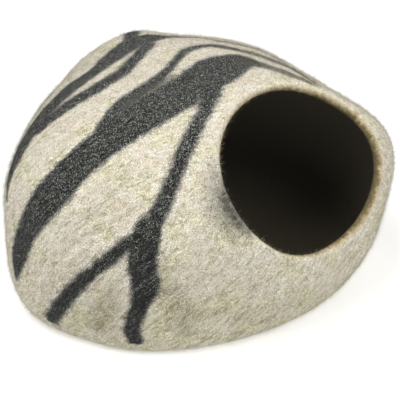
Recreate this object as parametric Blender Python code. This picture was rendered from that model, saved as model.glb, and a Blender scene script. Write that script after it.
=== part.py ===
"""Felt cat cave: one seamless shell of thick wet-felted wool with a round mouth.

Metres and degrees, +Z up. The mouth faces -Y and looks up a little. The flat base
stands on Z = 0, and the origin lies on the floor under the middle of the shape.

The shell is described from its heart, a point inside it at the height of its widest
girth. In any direction from the heart the wall lies at one distance, so the whole
outside is one rule of direction, which the functions below work out step by step.
"""

import math
from collections import namedtuple

import bmesh
import bpy
from mathutils import Matrix, Vector

# ---- Driving dimensions ----

FELT_THICKNESS = 0.007
LIP_BEAD = 0.004  # how much thicker the felt is at the cut edge of the mouth
BEAD_SPREAD = 0.016  # distance from that edge over which the bead dies away
LIP_ROUNDING = 0.0044  # the edge is worked round by hand

# How far the wall stands from the heart.
LEFT_REACH = 0.232
RIGHT_REACH = 0.2405
FRONT_REACH = 0.197
BACK_REACH = 0.2555
CROWN_RISE = 0.1545
BELLY_DROP = 0.2005  # before the floor flattens the round belly
GIRTH_HEIGHT = 0.0985  # of the heart over the floor

# Superellipse powers: 2 is an ellipse, more is squarer, less is more pointed.
PLAN_POWER = 1.985
PROFILE_POWER = 2.32

# How the standing shell leans and narrows.
LEAN_RIGHT = 0.074  # sideways travel for each metre of height over the heart
LEAN_BACK = 0.033
NARROWING_TO_BACK = 0.705  # share of the width lost for each metre towards the back
FLOOR_SETTLING = 0.014  # depth over which the belly turns into the flat base

# The mouth is a round hole cut a little to one side of the body's long axis.
MOUTH_RADIUS = 0.0968
MOUTH_TURN = 16.7  # from the body's front towards its right
MOUTH_RISE = 31.0  # above the horizon
SNOUT_LENGTH = 0.0265  # how far the wall swells out along the mouth's axis
SNOUT_SPREAD = 30.8  # degrees from the rim over which that swelling dies away

# The mouth isn't a true circle: each wave pushes its rim out by a share of the radius.
Wave = namedtuple("Wave", "place lobes turn share")
MOUTH_WAVES = (
    Wave("out to the right", 1, 15, 0.073),
    Wave("drawn out from low left to high right", 2, 35, 0.022),
    Wave("corners high right, left and below", 3, 30, 0.032),
)

# Soft swellings and hollows that hand felting and folding have left. Turn runs
# from the mouth's side (0) to the right (90), rise is above the heart's level.
Swell = namedtuple("Swell", "place turn rise spread height")
SWELLS = (
    Swell("corner at the back of the roof", 161, 30, 14, 0.011),
    Swell("slack along the back of the roof", 143, 36, 12, -0.002),
    Swell("ridge running on from that corner", -178, 26, 10, 0.007),
    Swell("hollow behind the left shoulder", -167, 24, 18, -0.008),
    Swell("slack on the left shoulder", -140, 16, 14, -0.0025),
    Swell("sag of the roof beside the mouth", 75, 34, 26, -0.0065),
    Swell("slack of the roof on the right", 86, 31, 10, -0.004),
    Swell("dip over the right cheek", 66, 32, 15, -0.0145),
    Swell("cheek right of the mouth", 51, 12, 14, 0.0025),
    Swell("hollow under the right cheek", 40, 0, 12, -0.0045),
    Swell("bulge of the left flank", -117, 10, 16, 0.007),
    Swell("fold over the base on the left", -103, -14, 14, 0.0075),
    Swell("pinch of the left foot", -75, -25, 12, -0.004),
    Swell("flat of the right side", 108, -4, 20, -0.004),
    Swell("swell low at the back", 148, -14, 16, 0.005),
    Swell("dent in the back", 178, 4, 13, -0.004),
)

# The mesh runs in rings from the mouth's rim to the middle of the base. They start
# square to the mouth and lie level by the time they reach the foot.
POINTS_ROUND = 72
Stretch = namedtuple("Stretch", "place share_at_end rings")
STRETCHES = (
    Stretch("bead round the mouth", 0.05, 4),
    Stretch("roof and walls", 0.52, 18),
    Stretch("foot, where the wall turns under", 0.65, 10),
    Stretch("flat base", 1.0, 4),
)
LEVEL_FROM_SHARE = STRETCHES[1].share_at_end


def direction(turn, rise):
    """Unit vector at a turn from the mouth's side and a rise over the horizon."""
    t, r = math.radians(turn), math.radians(rise)
    return Vector((math.sin(t) * math.cos(r), -math.cos(t) * math.cos(r), math.sin(r)))


ACROSS = Vector((1, 0, 0))
MOUTH_AXIS = direction(0, MOUTH_RISE)
TO_BODY = Matrix.Rotation(math.radians(MOUTH_TURN), 3, "Z")
FROM_BODY = TO_BODY.inverted()


def body_reach(aim):
    """Distance from the heart to the wall along the unit vector aim, without the snout."""
    x, y, z = TO_BODY @ aim
    side = abs(x) / (LEFT_REACH if x < 0 else RIGHT_REACH)
    length = abs(y) / (FRONT_REACH if y < 0 else BACK_REACH)
    height = abs(z) / (BELLY_DROP if z < 0 else CROWN_RISE)
    plan = (side**PLAN_POWER + length**PLAN_POWER) ** (PROFILE_POWER / PLAN_POWER)
    distance = (plan + height**PROFILE_POWER) ** (-1 / PROFILE_POWER)
    for swell in SWELLS:
        off = math.degrees(aim.angle(direction(swell.turn, swell.rise)))
        distance += swell.height * math.exp(-((off / swell.spread) ** 2))
    return distance


def around(axis, opening, clock):
    """Unit vector at an opening angle off an axis that rises over the mouth's side."""
    spoke = math.cos(clock) * ACROSS + math.sin(clock) * axis.cross(ACROSS)
    return math.cos(opening) * axis + math.sin(opening) * spoke


def rim_opening(clock):
    """Opening angle at which the wall has the hole's radius, found by repetition."""
    radius = MOUTH_RADIUS
    for wave in MOUTH_WAVES:
        radius += MOUTH_RADIUS * wave.share * math.cos(wave.lobes * (clock - math.radians(wave.turn)))
    opening = 0.4
    for _ in range(12):
        opening = math.asin(radius / body_reach(around(MOUTH_AXIS, opening, clock)))
    return opening


def snout(aim):
    """How far the wall swells out along the mouth's axis in the direction aim."""
    clock = math.atan2(aim.dot(MOUTH_AXIS.cross(ACROSS)), aim.dot(ACROSS))
    past_rim = math.degrees(aim.angle(MOUTH_AXIS) - rim_opening(clock))
    return SNOUT_LENGTH * math.exp(-((past_rim / SNOUT_SPREAD) ** 2))


def settle(height):
    """Height over the floor once the felt has settled on it: never below zero."""
    if height <= -FLOOR_SETTLING:
        return 0.0
    if height >= FLOOR_SETTLING:
        return height
    return (height + FLOOR_SETTLING) ** 2 / (4 * FLOOR_SETTLING)


def wall_point(aim):
    """Place of the outside in the direction aim, once the shell leans and stands."""
    x, y, z = TO_BODY @ (body_reach(aim) * aim + snout(aim) * MOUTH_AXIS)
    x += LEAN_RIGHT * z
    y += LEAN_BACK * z
    x *= 1 - NARROWING_TO_BACK * y
    return FROM_BODY @ Vector((x, y, settle(z + GIRTH_HEIGHT)))


def ring_aims(share):
    """Directions of one ring at a share of the way from the rim to the base's middle."""
    rise = MOUTH_RISE + (90 - MOUTH_RISE) * min(1, share / LEVEL_FROM_SHARE)
    axis = direction(0, rise)
    for i in range(POINTS_ROUND):
        clock = 2 * math.pi * i / POINTS_ROUND
        rim = rim_opening(clock)
        yield around(axis, rim + (math.pi - rim) * share, clock)


def ring_shares():
    """Share of the way for each ring, closer together where the wall bends more."""
    start = 0
    for stretch in STRETCHES:
        step = (stretch.share_at_end - start) / stretch.rings
        for i in range(stretch.rings):
            yield start + i * step
        start = stretch.share_at_end


def outside_mesh(name):
    """The outside as rings of quads, open at the mouth and closed under the base."""
    mesh = bmesh.new()
    rings = [
        [mesh.verts.new(wall_point(aim)) for aim in ring_aims(share)]
        for share in ring_shares()
    ]
    middle = mesh.verts.new(wall_point(direction(0, -90)))
    for ring, further in zip(rings, rings[1:]):
        for i in range(POINTS_ROUND):
            j = (i + 1) % POINTS_ROUND
            mesh.faces.new((ring[i], further[i], further[j], ring[j]))
    for i in range(POINTS_ROUND):
        mesh.faces.new((rings[-1][i], middle, rings[-1][(i + 1) % POINTS_ROUND]))
    centre_on_origin(mesh)
    data = bpy.data.meshes.new(name)
    mesh.to_mesh(data)
    mesh.free()
    data.shade_smooth()
    return data


def centre_on_origin(mesh):
    """Moves the mesh sideways so that the middle of its box is over the origin."""
    xs = [vert.co.x for vert in mesh.verts]
    ys = [vert.co.y for vert in mesh.verts]
    middle = Vector(((min(xs) + max(xs)) / 2, (min(ys) + max(ys)) / 2, 0))
    bmesh.ops.translate(mesh, verts=mesh.verts, vec=-middle)


def felt_material():
    """Natural undyed wool felt, matt and pale."""
    material = bpy.data.materials.new("undyed_wool_felt")
    material.use_nodes = True
    shader = material.node_tree.nodes["Principled BSDF"]
    shader.inputs["Base Color"].default_value = (0.65, 0.60, 0.48, 1)
    shader.inputs["Roughness"].default_value = 0.95
    shader.inputs["Metallic"].default_value = 0
    return material


def weigh_bead(shell):
    """A vertex group that holds each point's share of the bead round the mouth."""
    bead = shell.vertex_groups.new(name="bead")
    rim = shell.data.vertices[:POINTS_ROUND]
    for vert in shell.data.vertices:
        from_rim = (vert.co - rim[vert.index % POINTS_ROUND].co).length
        bead.add([vert.index], math.exp(-((from_rim / BEAD_SPREAD) ** 2)), "REPLACE")
    return bead


def felt_shell():
    """The whole cave: one piece of felt, even but for the thicker lip of the mouth."""
    shell = bpy.data.objects.new("felt_shell", outside_mesh("felt_shell"))
    bpy.context.scene.collection.objects.link(shell)
    shell.data.materials.append(felt_material())

    felt = shell.modifiers.new("felt", "SOLIDIFY")
    felt.thickness = FELT_THICKNESS + LIP_BEAD
    felt.vertex_group = weigh_bead(shell).name
    felt.thickness_vertex_group = FELT_THICKNESS / felt.thickness
    felt.offset = -1
    felt.use_even_offset = True

    lip = shell.modifiers.new("lip", "BEVEL")
    lip.width = LIP_ROUNDING
    lip.segments = 3
    lip.limit_method = "ANGLE"
    lip.angle_limit = math.radians(60)
    return shell


def main():
    for thing in list(bpy.data.objects):
        bpy.data.objects.remove(thing)
    felt_shell()


main()
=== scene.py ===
"""Felt cat cave, finished: a fine sheet of wet-felted wool over the plain solid, its
zebra stripes, its folds and the loose fibres that stand off it, with a plain studio.

Metres and degrees, +Z up, in the frame of the solid. The mouth faces -Y. The file is
laid out as a Blender add-on and is run as a script.
"""

import math
from collections import namedtuple
from functools import partial

import bpy
import numpy as np
from bpy.props import FloatProperty, FloatVectorProperty, IntProperty, PointerProperty
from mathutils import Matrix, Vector, noise


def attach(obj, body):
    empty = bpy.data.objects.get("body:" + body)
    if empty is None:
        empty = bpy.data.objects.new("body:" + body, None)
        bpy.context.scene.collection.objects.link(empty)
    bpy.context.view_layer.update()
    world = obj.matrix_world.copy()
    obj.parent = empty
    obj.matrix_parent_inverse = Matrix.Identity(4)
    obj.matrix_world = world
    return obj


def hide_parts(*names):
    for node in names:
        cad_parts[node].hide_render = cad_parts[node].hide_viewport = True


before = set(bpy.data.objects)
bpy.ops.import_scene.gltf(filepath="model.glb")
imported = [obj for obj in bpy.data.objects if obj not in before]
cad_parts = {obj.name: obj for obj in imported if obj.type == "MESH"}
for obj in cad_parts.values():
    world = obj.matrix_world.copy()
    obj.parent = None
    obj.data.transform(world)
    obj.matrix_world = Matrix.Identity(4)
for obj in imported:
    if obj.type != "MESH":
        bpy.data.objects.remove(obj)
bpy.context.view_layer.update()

bl_info = {
    "name": "Felt cat cave",
    "version": (1, 0, 0),
    "blender": (4, 5, 0),
    "location": "3D View > Sidebar > Felt cave",
    "description": "Makes a wet-felted wool cave with zebra stripes, and a plain studio",
    "category": "Object",
}

NODE = "felt_shell"
BODY = "root"

# ---- The form, as in the solid ----

LEFT_REACH = 0.232
RIGHT_REACH = 0.2405
FRONT_REACH = 0.197
BACK_REACH = 0.2555
CROWN_RISE = 0.1545
BELLY_DROP = 0.2005
GIRTH_HEIGHT = 0.0985
PLAN_POWER = 1.985
PROFILE_POWER = 2.32
LEAN_RIGHT = 0.074
LEAN_BACK = 0.033
NARROWING_TO_BACK = 0.705
FLOOR_SETTLING = 0.014
MOUTH_RADIUS = 0.0968
MOUTH_TURN = 16.7
MOUTH_RISE = 31.0
SNOUT_LENGTH = 0.0265
SNOUT_SPREAD = 30.8

# The mouth isn't a true circle: each wave pushes its rim out by a share of the radius.
Wave = namedtuple("Wave", "place lobes turn share")
MOUTH_WAVES = (
    Wave("out to the right", 1, 15, 0.073),
    Wave("drawn out from low left to high right", 2, 35, 0.022),
    Wave("corners high right, left and below", 3, 30, 0.032),
)

# Turn runs from the mouth's side (0) to the right (90), rise is above the heart's level.
Swell = namedtuple("Swell", "place turn rise spread height")
SWELLS = (
    Swell("corner at the back of the roof", 161, 30, 14, 0.011),
    Swell("slack along the back of the roof", 143, 36, 12, -0.002),
    Swell("ridge running on from that corner", -178, 26, 10, 0.007),
    Swell("hollow behind the left shoulder", -167, 24, 18, -0.008),
    Swell("slack on the left shoulder", -140, 16, 14, -0.0025),
    Swell("sag of the roof beside the mouth", 75, 34, 26, -0.0065),
    Swell("slack of the roof on the right", 86, 31, 10, -0.004),
    Swell("dip over the right cheek", 66, 32, 15, -0.0145),
    Swell("cheek right of the mouth", 51, 12, 14, 0.0025),
    Swell("hollow under the right cheek", 40, 0, 12, -0.0045),
    Swell("bulge of the left flank", -117, 10, 16, 0.007),
    Swell("fold over the base on the left", -103, -14, 14, 0.0075),
    Swell("pinch of the left foot", -75, -25, 12, -0.004),
    Swell("flat of the right side", 108, -4, 20, -0.004),
    Swell("swell low at the back", 148, -14, 16, 0.005),
    Swell("dent in the back", 178, 4, 13, -0.004),
)

# Fineness of the sheet, in rings from the mouth's lip to the middle of the base.
POINTS_ROUND = 360
Stretch = namedtuple("Stretch", "place share_at_end outside_rings inside_rings")
STRETCHES = (
    Stretch("roof and walls", 0.52, 150, 56),
    Stretch("foot, where the wall turns under", 0.65, 26, 12),
    Stretch("flat base", 1.0, 12, 8),
)
LEVEL_FROM_SHARE = STRETCHES[0].share_at_end
LIP_STEPS = 12  # points round the half circle of the mouth's lip
# The lip's inner half and the hollow carry painted shade, starting this far round the lip.
LIP_PAINTED_SHADE_START = math.pi / 4  # how far round that half circle the pale wool ends
TRAIL_STEPS = 12  # points between two controls of a stripe, wisp or fold

# Low on the mouth's right the painted shade of the inside reaches further over the lip.
PAINTED_SHADE_REACH = 0.0065
PAINTED_SHADE_TURN = math.radians(-28)  # from the mouth's right towards its top
PAINTED_SHADE_SPREAD = math.radians(50)

# ---- What hand felting leaves on it, and painted shade on the lip and in creases ----

# A trail is a soft line over the outside: (turn, rise, half width in millimetres).
Stripe = namedtuple("Stripe", "place trail")
STRIPES = (
    Stripe(
        "broad one, from the left foot over the crown to the right of the roof",
        (
            (-99, -8, 5), (-98, 0, 16), (-95, 10, 18), (-91, 23, 25), (-88, 38, 24),
            (-84, 52, 28), (-77, 68, 32), (-60, 82, 32), (60, 86, 34), (90, 75, 31),
            (84, 67, 16), (70, 65, 4),
        ),
    ),
    Stripe(
        "thin one behind the crown, out of the broad one",
        (
            (-96, 44, 5), (-101, 54, 13), (-108, 64, 11), (-122, 72, 9), (-150, 76, 7),
            (165, 72, 6), (145, 65, 7), (125, 58, 7), (105, 56, 3),
        ),
    ),
    Stripe(
        "back edge of the roof, outer of the twins",
        (
            (-112, 9, 3), (-118, 16, 13), (-125, 22, 22), (-132, 30, 19), (-142, 38, 18),
            (-155, 45, 14), (-172, 46, 20), (172, 45, 22), (156, 45, 15), (140, 45, 3),
        ),
    ),
    Stripe(
        "back edge of the roof, inner of the twins",
        (
            (-123, 28, 13), (-125, 38, 12), (-130, 48, 13), (-143, 56, 12), (-165, 58, 10),
            (168, 52, 10),
        ),
    ),
    Stripe(
        "slender one down the left side of the mouth",
        ((-30, 77, 12), (-44, 64, 9), (-51, 48, 9), (-53, 34, 9), (-55, 22, 11), (-56, 19, 12)),
    ),
    Stripe(
        "its branch towards the left foot",
        ((-57, 20, 9), (-65, 11, 8), (-73, 1, 9), (-80, -10, 10), (-85, -18, 9)),
    ),
    Stripe(
        "its branch straight down the front",
        (
            (-56, 21, 15), (-56, 12, 17), (-54, 3, 16), (-55, -5, 11), (-57, -14, 10),
            (-56, -20, 10),
        ),
    ),
    Stripe(
        "forked one on the right flank",
        ((103, 36, 4), (106, 26, 9), (104, 14, 12), (101, 2, 11), (98, -10, 7), (97, -17, 3)),
    ),
    Stripe("its branch", ((104, 12, 9), (110, 4, 9), (118, -5, 8), (123, -13, 4))),
    Stripe(
        "broad one down the back",
        (
            (168, 40, 10), (160, 30, 13), (157, 18, 16), (160, 6, 17), (165, -5, 13),
            (168, -15, 5),
        ),
    ),
    Stripe(
        "its branch",
        ((158, 22, 10), (148, 14, 11), (141, 4, 12), (137, -7, 9), (136, -15, 4)),
    ),
    Stripe(
        "short one behind the left flank",
        ((-150, 26, 3), (-147, 16, 9), (-143, 5, 12), (-141, -6, 10), (-142, -15, 4)),
    ),
)

# Where other wool lies thinly over the pale, or where shadow and crease shade are painted
# on: how much of it there is, and how wide the soft edge is, in millimetres.
Wisp = namedtuple("Wisp", "place strength blur trail")
DARK_WISPS_AND_PAINTED_SHADE = (
    Wisp(
        "tail of the broad stripe", 0.88, 7,
        ((80, 67, 14), (66, 61, 10), (56, 55, 9), (50, 49, 5), (50, 47, 2)),
    ),
    Wisp(
        "tail of the thin stripe", 0.85, 7,
        ((122, 57, 7), (104, 56, 9), (90, 53, 11), (78, 49, 12), (65, 47, 9), (53, 46, 3)),
    ),
    Wisp(
        "thin line along the back of the roof", 0.72, 6,
        ((150, 45, 7), (130, 46, 6), (110, 47, 6), (98, 42, 6), (87, 42, 4)),
    ),
    Wisp(
        "haze between the broad stripe and the thin one", 0.72, 9,
        ((-99, 55, 6), (-106, 67, 7), (-118, 76, 6), (-128, 79, 4)),
    ),
    # The next three wisps are painted shadow along the mouth's left lip.
    Wisp(
        "shade along the mouth's left lip", 0.88, 19,
        (
            (-35, 36, 6), (-34.2, 32.3, 11), (-33.5, 28.4, 14), (-32, 25, 14),
            (-30, 21.6, 11), (-27.4, 18.6, 6),
        ),
    ),
    Wisp(
        "fainter shade round it", 0.5, 26,
        (
            (-39, 41, 4), (-38.2, 34, 10), (-37.6, 30, 13), (-36.5, 26, 13),
            (-34.7, 22.6, 11), (-31.5, 18.5, 6),
        ),
    ),
    Wisp(
        "darkest spot on that lip", 0.96, 12,
        ((-35, 32, 4), (-34.5, 29, 8), (-33.4, 26, 9), (-31.6, 23.3, 7), (-30, 21, 4)),
    ),
)
MOSS_WISPS_AND_PAINTED_CREASE_SHADE = (
    # The next three wisps are painted shade in the creases; the duller wool after them is the
    # fleece's own colour.
    Wisp(
        "line of the crease on the left flank", 0.42, 4,
        (
            (-87, 12, 0.4), (-83, 16, 1), (-78, 18, 1.6), (-74, 21, 1.6), (-70, 23, 1),
            (-66, 26, 0.4),
        ),
    ),
    Wisp(
        "line of the crease in front of it", 0.4, 4,
        (
            (-73, 16, 0.4), (-70, 18, 1), (-68, 21, 1.4), (-65, 23, 1.4), (-62, 26, 1),
            (-59, 29, 0.4),
        ),
    ),
    Wisp(
        "line of the crease over the front foot", 0.55, 4,
        (
            (-22, -22.5, 0.4), (-17, -21.5, 1.4), (-14, -20.5, 1.8), (-12, -19.5, 1.8),
            (-9.5, -18.5, 1.4), (-7, -17.5, 0.4),
        ),
    ),
    Wisp(
        "duller wool on the left flank", 0.22, 32,
        ((-77, 16, 8), (-73, 22, 14), (-71, 28, 14), (-68.5, 35, 8)),
    ),
    Wisp(
        "duller wool in the fork of the front stripes", 0.5, 22,
        ((-63, 3, 4), (-64, -3, 12), (-66, -9, 16), (-68, -15, 12)),
    ),
    Wisp(
        "duller wool right of the front stripe", 0.45, 26,
        ((-50, 8, 4), (-48, 2, 12), (-45, -4, 18), (-42, -10, 18), (-41, -16, 10)),
    ),
    Wisp(
        "duller wool under the mouth", 0.2, 40,
        ((-32, -8, 8), (-24, -13, 18), (-14, -16, 18), (-2, -16, 8)),
    ),
)

# A ridge stands proud by its height in millimetres, and a trough has less than none.
Fold = namedtuple("Fold", "place height trail")
FOLDS = (
    Fold(
        "crease over the front foot",
        -3.0,
        (
            (-24, -23, 2), (-20, -22, 4), (-17, -21, 5), (-14, -20, 5.5), (-12, -19, 5.5),
            (-10, -18, 5), (-7, -17.5, 3),
        ),
    ),
    Fold(
        "crease left of it",
        -1.6,
        ((-37, -24, 2), (-33, -24, 3.5), (-28, -23, 4), (-24, -23, 3.5), (-20, -23.5, 2)),
    ),
    Fold(
        "crease on the left flank",
        -2.2,
        ((-87, 12, 3), (-83, 16, 5), (-78, 18, 6), (-74, 21, 6), (-70, 23, 5), (-66, 26, 3)),
    ),
    Fold(
        "crease in front of it",
        -2.0,
        ((-73, 16, 3), (-70, 18, 5), (-68, 21, 5), (-65, 23, 5), (-62, 26, 4), (-59, 29, 2)),
    ),
    Fold(
        "ridge between them",
        1.5,
        ((-82, 11, 5), (-76, 15, 7), (-72, 19, 7), (-67, 24, 6), (-63, 28, 4)),
    ),
    Fold(
        "low ridge on the left flank",
        1.6,
        ((-90, -6, 6), (-82, 2, 10), (-74, 10, 10), (-67, 16, 5)),
    ),
)


def direction(turn, rise):
    """Unit vectors at turns from the mouth's side and rises over the horizon."""
    t, r = np.radians(turn), np.radians(rise)
    return np.stack(
        np.broadcast_arrays(np.sin(t) * np.cos(r), -np.cos(t) * np.cos(r), np.sin(r)), -1
    )


ACROSS = np.array((1.0, 0.0, 0.0))
MOUTH_AXIS = direction(0, MOUTH_RISE)
FIRST_GUESS = 0.4  # of the angle from the mouth's axis to its rim
GUESSES = 12
SPIN = math.radians(MOUTH_TURN)
FROM_BODY = np.array(
    (
        (math.cos(SPIN), math.sin(SPIN), 0),
        (-math.sin(SPIN), math.cos(SPIN), 0),
        (0, 0, 1),
    )
)


def to_body(points):
    return points @ FROM_BODY


def from_body(points):
    return points @ FROM_BODY.T


def angle(aims, axis):
    """Angles in degrees between unit vectors."""
    return np.degrees(np.arccos(np.clip(aims @ axis, -1, 1)))


def body_reach(aims):
    """Distances from the heart to the wall along unit vectors, without the snout."""
    x, y, z = np.moveaxis(to_body(aims), -1, 0)
    side = np.abs(x) / np.where(x < 0, LEFT_REACH, RIGHT_REACH)
    length = np.abs(y) / np.where(y < 0, FRONT_REACH, BACK_REACH)
    height = np.abs(z) / np.where(z < 0, BELLY_DROP, CROWN_RISE)
    plan = (side**PLAN_POWER + length**PLAN_POWER) ** (PROFILE_POWER / PLAN_POWER)
    distance = (plan + height**PROFILE_POWER) ** (-1 / PROFILE_POWER)
    for swell in SWELLS:
        off = angle(aims, direction(swell.turn, swell.rise))
        distance += swell.height * np.exp(-((off / swell.spread) ** 2))
    return distance


def around(axes, openings, clocks):
    """Unit vectors at opening angles off axes that rise over the mouth's side."""
    up = np.cross(axes, ACROSS)
    spokes = np.cos(clocks)[..., None] * ACROSS + np.sin(clocks)[..., None] * up
    return np.cos(openings)[..., None] * axes + np.sin(openings)[..., None] * spokes


def rim_opening(clocks):
    """Opening angles at which the wall has the hole's radius, found by repetition."""
    radius = np.full_like(clocks, MOUTH_RADIUS)
    for wave in MOUTH_WAVES:
        pushed_out = np.cos(wave.lobes * (clocks - math.radians(wave.turn)))
        radius += MOUTH_RADIUS * wave.share * pushed_out
    openings = np.full_like(clocks, FIRST_GUESS)
    for _ in range(GUESSES):
        openings = np.arcsin(radius / body_reach(around(MOUTH_AXIS, openings, clocks)))
    return openings


def wall(aims):
    """Places of the outside in the directions aims, before it is centred."""
    up = np.cross(MOUTH_AXIS, ACROSS)
    past_rim = angle(aims, MOUTH_AXIS) - np.degrees(
        rim_opening(np.arctan2(aims @ up, aims @ ACROSS))
    )
    snout = SNOUT_LENGTH * np.exp(-((past_rim / SNOUT_SPREAD) ** 2))
    points = body_reach(aims)[..., None] * aims + snout[..., None] * MOUTH_AXIS
    x, y, z = np.moveaxis(to_body(points), -1, 0)
    x = x + LEAN_RIGHT * z
    y = y + LEAN_BACK * z
    x = x * (1 - NARROWING_TO_BACK * y)
    height = z + GIRTH_HEIGHT
    settled = np.clip(height + FLOOR_SETTLING, 0, None) ** 2 / (4 * FLOOR_SETTLING)
    height = np.where(height < FLOOR_SETTLING, settled, height)
    return from_body(np.stack((x, y, height), -1))


def unit(vectors):
    return vectors / np.linalg.norm(vectors, axis=-1, keepdims=True)


def soft_step(values):
    """Values from 0 to 1, with a soft start and a soft end."""
    t = np.clip(values, 0, 1)
    return t * t * (3 - 2 * t)


# ---- The sheet's rings ----


def ring_shares(count_name):
    """Share of the way from the lip to the base's middle for each ring."""
    start, shares = 0.0, []
    for stretch in STRETCHES:
        count = getattr(stretch, count_name)
        shares += list(np.linspace(start, stretch.share_at_end, count, endpoint=False))
        start = stretch.share_at_end
    return np.array(shares)


def ring_aims(shares, clocks, lip_openings):
    """Directions of rings that start square to the mouth and end level at the foot."""
    rises = MOUTH_RISE + (90 - MOUTH_RISE) * np.minimum(1, shares / LEVEL_FROM_SHARE)
    openings = lip_openings + (math.pi - lip_openings) * shares[:, None]
    return around(direction(0, rises)[:, None], openings, clocks)


def outward_normals(points):
    """Unit normals of a grid of rings, pointing out of the cave."""
    along = np.gradient(points, axis=0)
    across = np.roll(points, -1, axis=1) - np.roll(points, 1, axis=1)
    return unit(np.cross(along, across))


def trail_points(trail, middle):
    """A trail as closely spaced points on the outside, with their half widths."""
    turns, rises, widths = np.array(trail, float).T
    controls = np.column_stack((direction(turns, rises), widths / 1000))
    controls = np.vstack((controls[0], controls, controls[-1]))
    fine = []
    for before, start, end, after in zip(controls, controls[1:], controls[2:], controls[3:]):
        for t in np.linspace(0, 1, TRAIL_STEPS, endpoint=False):
            fine.append(
                start
                + 0.5 * t * (end - before)
                + t * t * (before - 2.5 * start + 2 * end - 0.5 * after)
                + t**3 * (1.5 * (start - end) + 0.5 * (after - before))
            )
    fine = np.array(fine + [controls[-1]])
    return wall(unit(fine[:, :3])) - middle, fine[:, 3]


def margin(points, trail, middle):
    """How far inside a trail's edge each point lies, in metres; less than 0 is outside."""
    deepest = np.full(points.shape[:-1], -1.0)
    for place, half_width in zip(*trail_points(trail, middle)):
        inside = half_width - np.linalg.norm(points - place, axis=-1)
        deepest = np.maximum(deepest, inside)
    return deepest


def set_pattern(mesh, points, middle, copies=1):
    """Stores how far inside the stripes each point lies, and how much wisp or painted shade
    covers it.
    """
    stripes = [margin(points, part.trail, middle) for part in STRIPES]
    set_values(mesh, "stripe_mm", np.repeat(np.max(stripes, axis=0) * 1000, copies))
    for name, group in (("dark_wisp_and_painted_shade", DARK_WISPS_AND_PAINTED_SHADE), ("moss_wisp_and_painted_crease_shade", MOSS_WISPS_AND_PAINTED_CREASE_SHADE)):
        wisps = [
            part.strength * soft_step(0.5 + 1000 / part.blur * margin(points, part.trail, middle))
            for part in group
        ]
        set_values(mesh, name, np.repeat(np.max(wisps, axis=0), copies))


def relief(points, middle, sizes):
    """How far lumps, dents and folds move each point of the outside, in metres."""
    flat = points.reshape(-1, 3)
    lumps = np.array(
        [
            sizes.dent_height * noise.fractal(Vector(p) / sizes.dent_size, 1, 2, 2)
            + sizes.lump_height * noise.fractal(Vector(p) / sizes.lump_size, 0.9, 2, 3)
            for p in flat
        ]
    ).reshape(points.shape[:-1])
    for fold in FOLDS:
        widest = max(width for _, _, width in fold.trail) / 1000
        share = soft_step(margin(points, fold.trail, middle) / widest)
        lumps += fold.height / 1000 * share
    return lumps * soft_step(points[..., 2] / sizes.flat_foot)


def set_values(mesh, name, values):
    """Stores one number for each point of the mesh, for its material to read."""
    made = mesh.attributes.new(name, "FLOAT", "POINT")
    made.data.foreach_set("value", np.ascontiguousarray(values, np.float32))


def ring_faces(rings, count):
    """Quads between rings of count points, numbered ring by ring."""
    i = np.arange(count)
    j = (i + 1) % count
    first = (np.arange(rings - 1) * count)[:, None]
    quads = np.stack((first + i, first + j, first + count + j, first + count + i), -1)
    return quads.reshape(-1, 4).tolist()


def add_piece(name, vertices, faces, material):
    """A mesh object of the finish, riding on the cave's one body."""
    mesh = bpy.data.meshes.new(name)
    mesh.from_pydata(vertices, [], faces)
    mesh.shade_smooth()
    mesh.materials.append(material)
    piece = bpy.data.objects.new(name, mesh)
    bpy.context.scene.collection.objects.link(piece)
    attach(piece, BODY)
    return piece


# ---- Materials ----

# Turns of the X axis to where the wool lies: up the flanks, and level over the roof.
LAID_UP = (0, math.radians(-47.7), math.radians(-48))
LAID_LEVEL = (0, 0, math.radians(47))
TIMES = "MULTIPLY"  # for Math nodes, which add unless told otherwise


def linear(hex_colour):
    """An sRGB hex colour as linear red, green and blue."""
    shares = [int(hex_colour[i : i + 2], 16) / 255 for i in (1, 3, 5)]
    return tuple(s / 12.92 if s <= 0.04045 else ((s + 0.055) / 1.055) ** 2.4 for s in shares)


def feed(tree, node, feeds):
    """Sets a node's inputs, by name or in order, to values or to outputs linked to them."""
    for place, value in feeds.items() if isinstance(feeds, dict) else enumerate(feeds):
        if isinstance(value, bpy.types.NodeSocket):
            tree.links.new(value, node.inputs[place])
        else:
            node.inputs[place].default_value = value


def add_node(tree, kind, feeds=(), output=0, **settings):
    """Adds a node with its settings and links, and gives back one of its outputs."""
    made = tree.nodes.new("ShaderNode" + kind)
    for name, value in settings.items():
        setattr(made, name, value)
    feed(tree, made, feeds)
    return made.outputs[output]


def new_material(name):
    material = bpy.data.materials.new(name)
    material.use_nodes = True
    return material, material.node_tree, material.node_tree.nodes["Principled BSDF"]


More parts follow.
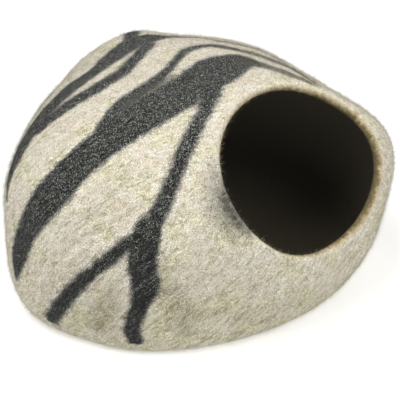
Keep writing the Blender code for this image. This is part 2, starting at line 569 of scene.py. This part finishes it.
def wet_felted_wool(colours):
    """Undyed sheep's wool felted by hand with charcoal wool: matted crossing fibres that
    scatter light with no gloss, a cloudy blend of fleece colours, and stripe edges that
    wander where the wet dark wool crept into the pale."""
    material, tree, shader = new_material("wet_felted_wool")
    node = partial(add_node, tree)

    # Cloudy patterns, some of them drawn out along the way the wool was laid. Single
    # hairs are far finer than the render shows, so they are drawn 1 to 3 mm apart.
    place = node("TexCoord", output="Object")
    level, matted, laid = [
        node(
            "Mapping",
            {"Vector": place, "Rotation": turns, "Scale": (length, 1, 1)},
            vector_type="TEXTURE",
        )
        for turns, length in ((LAID_LEVEL, 2.2), (LAID_UP, 6), (LAID_UP, 3))
    ]
    Pattern = namedtuple("Pattern", "where patch_mm detail roughness distortion")
    specks, tangle, clouds, flush, drifts, wander, blotches, lumps = [
        node(
            "TexNoise",
            {
                "Vector": pattern.where,
                "Scale": 1000 / pattern.patch_mm,
                "Detail": pattern.detail,
                "Roughness": pattern.roughness,
                "Distortion": pattern.distortion,
            },
        )
        for pattern in (
            Pattern(level, 1.0, 1, 0.5, 0.0),
            Pattern(matted, 3.0, 3, 0.7, 0.4),
            Pattern(laid, 5.5, 4, 0.62, 0.6),
            Pattern(laid, 11, 3, 0.6, 0.5),
            Pattern(place, 34, 3, 0.6, 0.0),
            Pattern(place, 14, 2, 0.5, 0.0),
            Pattern(place, 5, 3, 0.7, 0.0),
            Pattern(place, 5, 3, 0.6, 0.0),
        )
    ]
    tone, stripe_mm, dark_wisp_and_painted_shade, moss_wisp_and_painted_crease_shade, inside_mm = [
        node("Attribute", output="Fac", attribute_name=name)
        for name in ("tone", "stripe_mm", "dark_wisp_and_painted_shade", "moss_wisp_and_painted_crease_shade", "inside_mm")
    ]
    height = node("SeparateXYZ", [place], output="Z")

    # Crossing hairs: less than 0 is a pale one, more than 0 a dark one.
    specks = node("MapRange", (specks, 0.36, 0.64, -0.38, 0.38))
    tangle = node("MapRange", (tangle, 0.32, 0.68, -0.20, 0.20))
    grain = node("Math", (specks, tangle))
    grain = node("Math", (grain, node("Math", (tone, 0.4), operation=TIMES)))
    coarse = node("MapRange", (height, 0.04, 0.22, 1.3, 0.75))
    coarse = node("Math", (grain, coarse), operation=TIMES)

    # Fleece colours in clouds: more oatmeal and olive low down, more rosy high up, then the
    # single hairs, the mossy green of dull places, and painted shade along the creases.
    low_down = node("Math", (drifts, node("MapRange", (height, 0.15, 0.0, -0.07, 0.05))))
    mottled = node("Math", (clouds, node("MapRange", (low_down, 0.4, 0.7, -0.05, 0.03))))
    flushed = node("Math", (flush, node("Math", (low_down, -0.5), operation=TIMES)))
    tufty = node("Math", (clouds, node("Math", (grain, 0.4), operation=TIMES)))
    tufty = node("MapRange", (tufty, 0.35, 0.65, 0.6, 1.35))
    pale = (*colours.cream, 1)
    for share, wool in (
        (node("MapRange", (low_down, 0.42, 0.64)), colours.oatmeal),
        (node("MapRange", (mottled, 0.46, 0.62)), colours.olive),
        (node("MapRange", (flushed, 0.24, 0.40, 0.0, 0.6)), colours.rosy),
        (node("MapRange", (coarse, 0.0, -0.45, 0.0, 0.8)), colours.bleached),
        (node("MapRange", (coarse, 0.05, 0.5, 0.0, 0.7)), colours.kemp),
        (node("Math", (moss_wisp_and_painted_crease_shade, tufty), operation=TIMES), colours.moss_and_painted_crease_shade),
    ):
        pale = node("Mix", {0: share, 6: pale, 7: (*wool, 1)}, 2, data_type="RGBA")

    # Pale hairs are caught in the dark wool, most of them high up.
    caught = node("Math", (grain, node("MapRange", (height, 0.05, 0.24, -0.15, 0.0))))
    dark = (*colours.charcoal, 1)
    for share, wool in (
        (node("MapRange", (clouds, 0.42, 0.66, 0.0, 0.5)), colours.slate),
        (node("MapRange", (caught, 0.16, 0.40)), colours.pale_fibre),
    ):
        dark = node("Mix", {0: share, 6: dark, 7: (*wool, 1)}, 2, data_type="RGBA")

    # The stripes' edges wander a little and are hairy.
    wander = node("MapRange", (wander, 0.3, 0.7, -1.2, 1.2))
    creep = node("MapRange", (clouds, 0.3, 0.7, -1.8, 1.8))
    fray = node("Math", (creep, node("Math", (grain, 5.0), operation=TIMES)))
    edge = node("Math", (node("Math", (stripe_mm, wander)), fray))
    striped = node("MapRange", (edge, -4.2, 2.0))
    colour = node("Mix", {0: striped, 6: pale, 7: dark}, 2, data_type="RGBA")

    # Painted shade turns the lip from pale over yellow and brown to the dark inside, in soft
    # blotches, and thin dark wool and a painted shadow on the mouth's left lip lie over it.
    blotches = node("MapRange", (blotches, 0.3, 0.7, -3.0, 3.0))
    inside = node("Math", (blotches, node("Math", (grain, -3.0), operation=TIMES)))
    inside = node("Math", (inside_mm, inside))
    uneven = node("Math", (clouds, node("Math", (grain, 0.25), operation=TIMES)))
    uneven = node("MapRange", (uneven, 0.35, 0.65, 0.85, 1.12))
    for share, wool in (
        (node("MapRange", (inside, -1.0, 5.0, 0.0, 0.75)), colours.painted_lip_shade_golden),
        (node("Math", (dark_wisp_and_painted_shade, uneven), operation=TIMES), colours.ash_and_painted_shade),
        (node("MapRange", (inside, 2.0, 9.0)), colours.painted_shade_umber),
        (node("MapRange", (inside, 6.0, 18.0)), colours.painted_shade_inside),
    ):
        colour = node("Mix", {0: share, 6: colour, 7: (*wool, 1)}, 2, data_type="RGBA")

    # A painted glow stands in for a little light that soaks through the felt, most of it
    # through the roof, and keeps the hollow from going black.
    painted_glow = node("MapRange", (height, 0.03, 0.15, 0.004, 0.017))
    painted_glow = node("Math", (painted_glow, node("MapRange", (inside, 12.0, 30.0))), operation=TIMES)

    # Pale hairs lie proud of dark ones, over small lumps.
    proud = node("Math", (grain, -0.4), operation=TIMES)
    proud = node("Math", (proud, node("Math", (lumps, 0.8), operation=TIMES)))
    feeds = {
        "Base Color": colour,
        "Normal": node("Bump", {"Height": proud, "Strength": 0.9, "Distance": 0.0018}),
        "Roughness": 0.95,
        "Specular IOR Level": 0.1,
        "Sheen Weight": 0.08,
        "Sheen Roughness": 0.6,
        "Emission Color": (*colours.painted_glow, 1),
        "Emission Strength": painted_glow,
    }
    feed(tree, shader, feeds)
    return material


def felt_material(colours):
    """The one felt of the shell and its fibres, made once."""
    return bpy.data.materials.get("wet_felted_wool") or wet_felted_wool(colours)


def opal_acrylic(colour, glow):
    """A product table's matt opal acrylic, lit from below: even and white, with only a
    faint shadow."""
    material, tree, shader = new_material("matt_opal_acrylic")
    feeds = {
        "Base Color": (*colour, 1),
        "Roughness": 0.8,
        "IOR": 1.49,
        "Specular IOR Level": 0.1,
        "Emission Color": (1, 1, 1, 1),
        "Emission Strength": glow,
    }
    feed(tree, shader, feeds)
    return material


# ---- Settings ----


class FeltSizes(bpy.types.PropertyGroup):
    thickness: FloatProperty(
        name="Felt thickness", description="Of the walls, roof and base", default=0.007,
        min=0.003, max=0.012, unit="LENGTH", precision=4,
    )
    dent_size: FloatProperty(
        name="Dent size", description="Width of the broad uneven places", default=0.07,
        min=0.02, max=0.2, unit="LENGTH", precision=3,
    )
    dent_height: FloatProperty(
        name="Dent height", description="How far broad places stand out or in",
        default=0.0016, min=0, max=0.004, unit="LENGTH", precision=4,
    )
    lump_size: FloatProperty(
        name="Lump size", description="Width of the small lumps that felting leaves",
        default=0.016, min=0.004, max=0.05, unit="LENGTH", precision=3,
    )
    lump_height: FloatProperty(
        name="Lump height", description="How far small lumps stand out or in",
        default=0.0006, min=0, max=0.002, unit="LENGTH", precision=4,
    )
    flat_foot: FloatProperty(
        name="Flat foot", description="Height over the floor below which lumps die away",
        default=0.02, min=0.005, max=0.05, unit="LENGTH", precision=3,
    )
    lip_bead: FloatProperty(
        name="Lip bead", description="How much thicker the felt is at the mouth's lip",
        default=0.004, min=0, max=0.01, unit="LENGTH", precision=4,
    )
    lip_reach: FloatProperty(
        name="Lip reach", description="How far from the mouth that bead dies away",
        default=0.016, min=0.004, max=0.05, unit="LENGTH", precision=3,
    )
    nap_count: IntProperty(
        name="Nap", description="How many short fibres lie on the felt",
        default=46000, min=1, max=49000,
    )
    nap_length: FloatProperty(
        name="Nap length", description="Of the longest short fibres", default=0.006,
        min=0.001, max=0.01, unit="LENGTH", precision=4,
    )
    hair_count: IntProperty(
        name="Hairs", description="How many loose hairs stand off the felt",
        default=46000, min=1, max=49000,
    )
    hair_length: FloatProperty(
        name="Hair length", description="Of the longest loose hairs", default=0.009,
        min=0.001, max=0.015, unit="LENGTH", precision=4,
    )
    fibre_radius: FloatProperty(
        name="Fibre radius", description="At the root, coarser than real wool so that it shows",
        default=0.00012, min=0.00002, max=0.0004, unit="LENGTH", precision=5,
    )


class FeltColours(bpy.types.PropertyGroup):
    cream: FloatVectorProperty(
        name="Cream", description="Undyed fleece, most of the cave", subtype="COLOR",
        default=linear("#dad4c6"), min=0, max=1,
    )
    oatmeal: FloatVectorProperty(
        name="Oatmeal", description="Duller fleece, mostly low down", subtype="COLOR",
        default=linear("#d4d0ab"), min=0, max=1,
    )
    olive: FloatVectorProperty(
        name="Olive", description="Greenish fleece in cloudy patches", subtype="COLOR",
        default=linear("#a6a079"), min=0, max=1,
    )
    # This colour also paints the shade in the creases.
    moss_and_painted_crease_shade: FloatVectorProperty(
        name="Moss and painted crease shade", description="Darkest fleece in dull places, and painted shade in creases", subtype="COLOR",
        default=linear("#7d7650"), min=0, max=1,
    )
    rosy: FloatVectorProperty(
        name="Rosy", description="Warmer fleece in fainter patches", subtype="COLOR",
        default=linear("#ccbda9"), min=0, max=1,
    )
    bleached: FloatVectorProperty(
        name="Bleached", description="Palest hairs in the pale wool", subtype="COLOR",
        default=linear("#fbf5e6"), min=0, max=1,
    )
    kemp: FloatVectorProperty(
        name="Kemp", description="Coarse darker hairs in the pale wool", subtype="COLOR",
        default=linear("#716b54"), min=0, max=1,
    )
    charcoal: FloatVectorProperty(
        name="Charcoal", description="Dark wool of the stripes", subtype="COLOR",
        default=linear("#121212"), min=0, max=1,
    )
    slate: FloatVectorProperty(
        name="Slate", description="Greyer parts of the stripes", subtype="COLOR",
        default=linear("#33342f"), min=0, max=1,
    )
    # This colour also paints the shadow along the mouth's left lip.
    ash_and_painted_shade: FloatVectorProperty(
        name="Ash and painted shade", description="Dark wool that lies thinly over the pale, and painted shadow on the lip", subtype="COLOR",
        default=linear("#4e4d45"), min=0, max=1,
    )
    pale_fibre: FloatVectorProperty(
        name="Pale fibre", description="Pale hairs caught in the stripes", subtype="COLOR",
        default=linear("#9a9c94"), min=0, max=1,
    )
    # This colour and the next two paint the shade on the lip's inner half and in the hollow.
    painted_lip_shade_golden: FloatVectorProperty(
        name="Golden painted shade", description="Painted shade, yellower, on the crest of the lip", subtype="COLOR",
        default=linear("#c0ae84"), min=0, max=1,
    )
    painted_shade_umber: FloatVectorProperty(
        name="Umber painted shade", description="Painted shade, brown, just inside the lip", subtype="COLOR",
        default=linear("#7a6c48"), min=0, max=1,
    )
    painted_shade_inside: FloatVectorProperty(
        name="Painted shade inside", description="Painted shade of the inside, dark brown", subtype="COLOR",
        default=linear("#3e382b"), min=0, max=1,
    )
    # The tint of a painted glow in the hollow, which is no lamp.
    painted_glow: FloatVectorProperty(
        name="Painted glow", description="Tint of the painted glow, for light that comes through the felt",
        subtype="COLOR", default=linear("#fff2d6"), min=0, max=1,
    )


class StudioSettings(bpy.types.PropertyGroup):
    table: FloatVectorProperty(
        name="Table", description="Colour of the floor", subtype="COLOR",
        default=linear("#ebebea"), min=0, max=1,
    )
    glow: FloatProperty(
        name="Glow", description="Strength of the light from under the table", default=0.28,
        min=0, max=5,
    )
    sky: FloatProperty(
        name="Sky", description="Strength of the even light from all round", default=0.12,
        min=0, max=5,
    )
    lamp_power: FloatProperty(
        name="Lamp power", description="Share of the lamps' usual power", default=1.0,
        min=0, max=5, subtype="FACTOR",
    )


# ---- Operators ----


class FELTCAVE_OT_shell(bpy.types.Operator):
    """Make the felt shell: one sheet, outside, lip and inside"""

    bl_idname = "felt_cave.shell"
    bl_label = "Felt shell"

    def execute(self, context):
        sizes, colours = context.scene.felt_sizes, context.scene.felt_colours
        clocks = np.linspace(0, 2 * math.pi, POINTS_ROUND, endpoint=False)
        lip_radius = (sizes.thickness + sizes.lip_bead) / 2
        lip_openings = self.lip_openings(clocks, lip_radius)

        outside = wall(ring_aims(ring_shares("outside_rings"), clocks, lip_openings))
        low, high = outside.reshape(-1, 3).min(0), outside.reshape(-1, 3).max(0)
        middle = np.array(((low[0] + high[0]) / 2, (low[1] + high[1]) / 2, 0))
        outside -= middle
        outside += relief(outside, middle, sizes)[..., None] * outward_normals(outside)

        inside = wall(ring_aims(ring_shares("inside_rings"), clocks, lip_openings)) - middle
        depth = np.linalg.norm(inside - inside[0], axis=-1)
        bead = sizes.lip_bead * np.exp(-((depth / sizes.lip_reach) ** 2))
        inside -= (sizes.thickness + bead)[..., None] * outward_normals(inside)

        bends = np.linspace(0, math.pi, LIP_STEPS + 2)[1:-1, None]
        lip = self.lip(outside[0], outside[1], inside[0], bends[..., None])
        rings = np.concatenate((outside[::-1], lip, inside))
        if not np.isfinite(rings).all():
            raise RuntimeError("The shell's points aren't all finite.")
        before_lip = np.linalg.norm(outside[::-1] - outside[0], axis=-1)
        past_lip = np.concatenate(
            (
                -before_lip - LIP_PAINTED_SHADE_START * lip_radius,
                np.repeat((bends - LIP_PAINTED_SHADE_START) * lip_radius, POINTS_ROUND, axis=1),
                depth + (math.pi - LIP_PAINTED_SHADE_START) * lip_radius,
            )
        )
        # Painted shade reaches further over the lip low on the mouth's right.
        off = np.remainder(clocks - PAINTED_SHADE_TURN + math.pi, 2 * math.pi) - math.pi
        past_lip += PAINTED_SHADE_REACH * np.exp(-((off / PAINTED_SHADE_SPREAD) ** 2))

        base = wall(direction(0, -90)) - middle
        vertices = np.vstack((rings.reshape(-1, 3), base, base + (0, 0, sizes.thickness)))
        faces = ring_faces(len(rings), POINTS_ROUND)
        first_pole, last_ring = len(vertices) - 2, (len(rings) - 1) * POINTS_ROUND
        for i in range(POINTS_ROUND):
            j = (i + 1) % POINTS_ROUND
            faces.append((first_pole, j, i))
            faces.append((first_pole + 1, last_ring + i, last_ring + j))
        piece = add_piece("felt_sheet", vertices.tolist(), faces, felt_material(colours))
        poles = past_lip.min(), past_lip.max()
        set_values(piece.data, "inside_mm", np.append(past_lip.ravel(), poles) * 1000)
        set_pattern(piece.data, vertices, middle)
        piece["middle"] = middle.tolist()
        # Felted as a seamless pouch round a flat form 0.58 m across: two round layers.
        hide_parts(NODE)
        return {"FINISHED"}

    def lip_openings(self, clocks, lip_radius):
        """Opening angles of the ring from which the lip's half circle starts."""
        rim, step = rim_opening(clocks), 0.01  # radians, to find how fast the wall moves
        edge = wall(around(MOUTH_AXIS, rim, clocks))
        further = wall(around(MOUTH_AXIS, rim + step, clocks))
        travel = np.linalg.norm(further - edge, axis=-1) / step
        return rim + lip_radius / travel

    def lip(self, outer, next_outer, inner, bends):
        """Rings of a half circle that joins the outside to the inside at the mouth."""
        centre, half = (outer + inner) / 2, (outer - inner) / 2
        towards_hole = unit(outer - next_outer) * np.linalg.norm(half, axis=-1)[:, None]
        return centre + np.cos(bends) * half + np.sin(bends) * towards_hole


class FELTCAVE_OT_fibres(bpy.types.Operator):
    """Make the short nap that lies on the felt and the loose hairs that stand off it"""

    bl_idname = "felt_cave.fibres"
    bl_label = "Nap and hairs"

    # Lengths and radii are shares of the sizes, and slopes say how steeply the fibres
    # leave the felt.
    Tuft = namedtuple("Tuft", "name count length length_share radius_share slopes")
    TUFTS = (
        Tuft("felted_nap", "nap_count", "nap_length", 1.0, 1.5, (0.05, 0.5)),
        Tuft("loose_hairs", "hair_count", "hair_length", 1.0, 1.0, (0.3, 1.6)),
        Tuft("haze_hairs", "hair_count", "hair_length", 1.3, 0.8, (0.3, 1.2)),
    )
    SEED = 11
    ROOT_DEPTH = 0.0002  # of the fibres' roots in the felt
    DEEPEST_MM = 9  # how far past the lip fibres still grow
    LOWEST = 0.006  # height over the floor from which fibres grow

    def execute(self, context):
        sizes, colours = context.scene.felt_sizes, context.scene.felt_colours
        shell = bpy.data.objects.get("felt_sheet")
        if shell is None:
            raise RuntimeError("The fibres need the felt shell first.")
        draws = np.random.default_rng(self.SEED)
        felt = felt_material(colours)
        for tuft in self.TUFTS:
            count = getattr(sizes, tuft.count)
            longest = tuft.length_share * getattr(sizes, tuft.length)
            radius = tuft.radius_share * sizes.fibre_radius
            self.grow(tuft, shell, count, longest, radius, draws, felt)
        return {"FINISHED"}

    def grow(self, tuft, shell, count, longest, radius, draws, felt):
        """Straight tapered fibres of one tuft, as one mesh."""
        roots, normals, depths = self.roots(shell.data, count, draws)
        tangents = unit(np.cross(normals, draws.normal(size=normals.shape)))
        aims = unit(tangents + draws.uniform(*tuft.slopes, (count, 1)) * normals)
        tips = roots + longest * draws.uniform(0.5, 1, (count, 1)) ** 3 * aims
        tips[:, 2] = np.maximum(tips[:, 2], 0)  # none goes into the floor
        side = unit(np.cross(aims, draws.normal(size=aims.shape)))
        other = np.cross(aims, side)
        under = roots - self.ROOT_DEPTH * normals
        thirds = (0, 2 * math.pi / 3, 4 * math.pi / 3)
        corners = [under + radius * (math.cos(a) * side + math.sin(a) * other) for a in thirds]
        vertices = np.stack((*corners, tips), axis=1)
        sides = np.array(((0, 2, 1), (0, 1, 3), (1, 2, 3), (2, 0, 3)))
        faces = (4 * np.arange(count)[:, None, None] + sides).reshape(-1, 3)
        piece = add_piece(tuft.name, vertices.reshape(-1, 3).tolist(), faces.tolist(), felt)
        set_pattern(piece.data, roots, np.array(shell["middle"]), copies=4)
        set_values(piece.data, "inside_mm", np.repeat(depths, 4))
        set_values(piece.data, "tone", np.repeat(draws.uniform(-1, 1, count), 4))

    def roots(self, mesh, count, draws):
        """Places spread evenly over the outside and the lip, clear of the floor."""
        mesh.calc_loop_triangles()
        corners = np.empty(len(mesh.loop_triangles) * 3, int)
        mesh.loop_triangles.foreach_get("vertices", corners)
        points = np.empty(len(mesh.vertices) * 3)
        mesh.vertices.foreach_get("co", points)
        depths = np.empty(len(mesh.vertices))
        mesh.attributes["inside_mm"].data.foreach_get("value", depths)
        triangles = corners.reshape(-1, 3)
        a, b, c = np.moveaxis(points.reshape(-1, 3)[triangles], 1, 0)
        crosses = np.cross(b - a, c - a)
        areas = np.linalg.norm(crosses, axis=-1)
        too_deep = depths[triangles].max(1) > self.DEEPEST_MM
        areas[too_deep | (a[:, 2] < self.LOWEST)] = 0
        chosen = draws.choice(len(areas), count, p=areas / areas.sum())
        u, v = draws.random((2, count, 1))
        u, v = np.where(u + v > 1, 1 - u, u), np.where(u + v > 1, 1 - v, v)
        places = a[chosen] + u * (b - a)[chosen] + v * (c - a)[chosen]
        return places, unit(crosses[chosen]), depths[triangles[chosen, 0]]


class FELTCAVE_OT_studio(bpy.types.Operator):
    """Make the pale floor, the soft lamps and the camera"""

    bl_idname = "felt_cave.studio"
    bl_label = "Studio"

    Lamp = namedtuple("Lamp", "name turn rise distance size power")
    LAMPS = (
        Lamp("softbox_left", -100, 45, 1.9, 1.5, 13.6),
        Lamp("softbox_top", -120, 70, 1.9, 1.5, 25.5),
        Lamp("softbox_front", 8, 45, 1.9, 1.5, 26.0),
        Lamp("softbox_back", 95, 42, 1.9, 1.2, 4.5),
    )
    AIM = (-0.014, -0.0523, 0.11)  # where the camera and the lamps point
    CAMERA_TURN = -43.08
    CAMERA_RISE = 35.30
    CAMERA_DISTANCE = 1.414
    LENS_MM = 104.2  # on a 36 mm wide sensor
    FLOOR_HALF = 6.0

    def execute(self, context):
        studio = context.scene.felt_studio
        self.floor(context.scene, opal_acrylic(studio.table, studio.glow))
        for lamp in self.LAMPS:
            light = bpy.data.lights.new(lamp.name, "AREA")
            light.shape = "DISK"
            light.size = lamp.size
            light.energy = lamp.power * studio.lamp_power
            self.aimed(context.scene, light, lamp.turn, lamp.rise, lamp.distance)

        camera = bpy.data.cameras.new("camera")
        camera.lens = self.LENS_MM
        camera.sensor_width = 36
        camera.clip_start = 0.05
        context.scene.camera = self.aimed(
            context.scene, camera, self.CAMERA_TURN, self.CAMERA_RISE, self.CAMERA_DISTANCE
        )

        world = bpy.data.worlds.new("studio_air")
        world.use_nodes = True
        sky = world.node_tree.nodes["Background"]
        feed(world.node_tree, sky, {"Color": (1, 1, 1, 1), "Strength": studio.sky})
        context.scene.world = world
        context.scene.view_settings.view_transform = "Standard"
        return {"FINISHED"}

    def floor(self, scene, material):
        half = self.FLOOR_HALF
        mesh = bpy.data.meshes.new("studio_floor")
        corners = [(-half, -half, 0), (half, -half, 0), (half, half, 0), (-half, half, 0)]
        mesh.from_pydata(corners, [], [(0, 1, 2, 3)])
        mesh.materials.append(material)
        floor = bpy.data.objects.new("studio_floor", mesh)
        floor.location.z = -0.0005
        scene.collection.objects.link(floor)

    def aimed(self, scene, data, turn, rise, distance):
        """An object at a turn, rise and distance from AIM that points at it."""
        made = bpy.data.objects.new(data.name, data)
        away = Vector(direction(turn, rise))
        made.location = Vector(self.AIM) + distance * away
        made.rotation_euler = away.to_track_quat("Z", "Y").to_euler()
        scene.collection.objects.link(made)
        return made


class FELTCAVE_PT_sidebar(bpy.types.Panel):
    bl_label = "Felt cave"
    bl_idname = "FELTCAVE_PT_sidebar"
    bl_space_type = "VIEW_3D"
    bl_region_type = "UI"
    bl_category = "Felt cave"

    def draw(self, context):
        layout = self.layout
        for settings in ("felt_sizes", "felt_colours", "felt_studio"):
            group = getattr(context.scene, settings)
            column = layout.column(align=True)
            for name in group.__annotations__:
                column.prop(group, name)
        for operator in OPERATORS:
            layout.operator(operator.bl_idname)


SETTINGS = (FeltSizes, FeltColours, StudioSettings)
OPERATORS = (FELTCAVE_OT_studio, FELTCAVE_OT_shell, FELTCAVE_OT_fibres)
CLASSES = (*SETTINGS, *OPERATORS, FELTCAVE_PT_sidebar)


def register():
    for made in CLASSES:
        bpy.utils.register_class(made)
    bpy.types.Scene.felt_sizes = PointerProperty(type=FeltSizes)
    bpy.types.Scene.felt_colours = PointerProperty(type=FeltColours)
    bpy.types.Scene.felt_studio = PointerProperty(type=StudioSettings)


def unregister():
    del bpy.types.Scene.felt_studio
    del bpy.types.Scene.felt_colours
    del bpy.types.Scene.felt_sizes
    for made in reversed(CLASSES):
        bpy.utils.unregister_class(made)


def main():
    register()
    bpy.ops.felt_cave.studio()
    bpy.ops.felt_cave.shell()
    bpy.ops.felt_cave.fibres()


if __name__ == "__main__":
    main()
